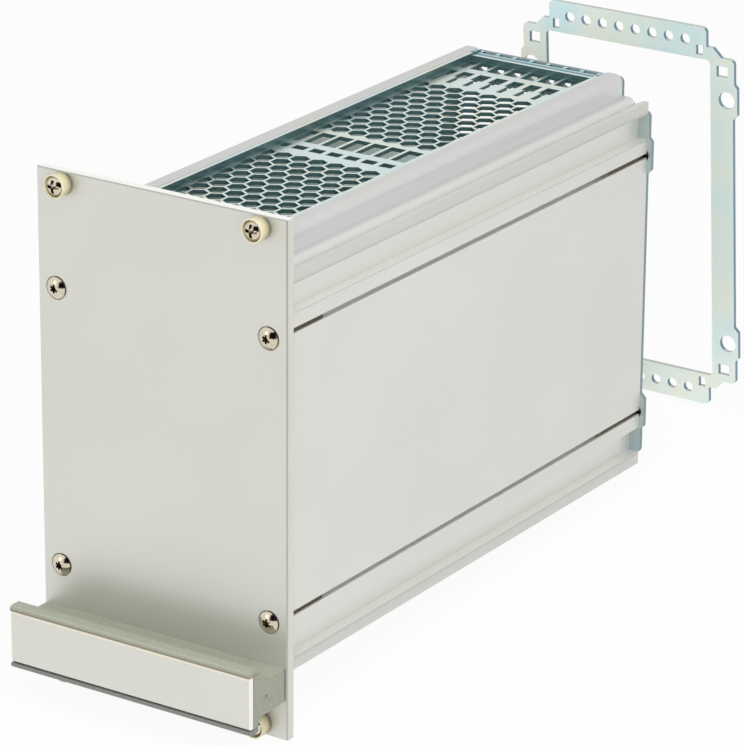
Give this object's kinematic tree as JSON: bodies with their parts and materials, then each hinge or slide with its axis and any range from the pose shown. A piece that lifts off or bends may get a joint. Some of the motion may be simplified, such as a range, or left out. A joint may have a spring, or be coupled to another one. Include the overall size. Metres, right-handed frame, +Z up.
{
  "type": "plug-in unit frame",
  "caption": "Rack plug-in unit frame: extruded side walls, perforated covers, front panel with pull handle and collar screws, punched rear frame, and a spare rear frame standing behind.",
  "frame": {"origin": "centre of the collar studs' rectangle, on the back face of the front panel", "axes": "+X to the right seen from the front, +Y from the front panel to the rear, +Z up"},
  "size_m": [0.0708, 0.234, 0.1284],
  "materials": {
    "panel_aluminium": "satin anodised",
    "wall_aluminium": "satin, faint draw lines along the length",
    "zinc_sheet": "bright zinc plate with a bluish passivation",
    "zinc_plate": "bright zinc plate with bluish and yellowish patches",
    "handle_grey": "fine grain",
    "strip_aluminium": "satin",
    "sleeve_cream": "slightly glossy",
    "screw_nickel": "bright nickel"
  },
  "bodies": {
    "root": {"front_panel": "panel_aluminium", "side_wall_left": "wall_aluminium", "side_wall_right": "wall_aluminium", "top_cover": "zinc_sheet", "bottom_cover": "zinc_sheet", "rear_frame": "zinc_plate", "second_rear_frame": "zinc_plate", "handle": "handle_grey", "handle_strip": "strip_aluminium", "collar_sleeve_upper_left": "sleeve_cream", "collar_sleeve_upper_right": "sleeve_cream", "collar_sleeve_lower_left": "sleeve_cream", "collar_sleeve_lower_right": "sleeve_cream", "collar_screw_upper_left": "screw_nickel", "collar_screw_upper_right": "screw_nickel", "collar_screw_lower_left": "screw_nickel", "collar_screw_lower_right": "screw_nickel", "panel_screws": "screw_nickel", "rear_screws": "screw_nickel", "handle_screws": "screw_nickel"}
  },
  "joints": []
}
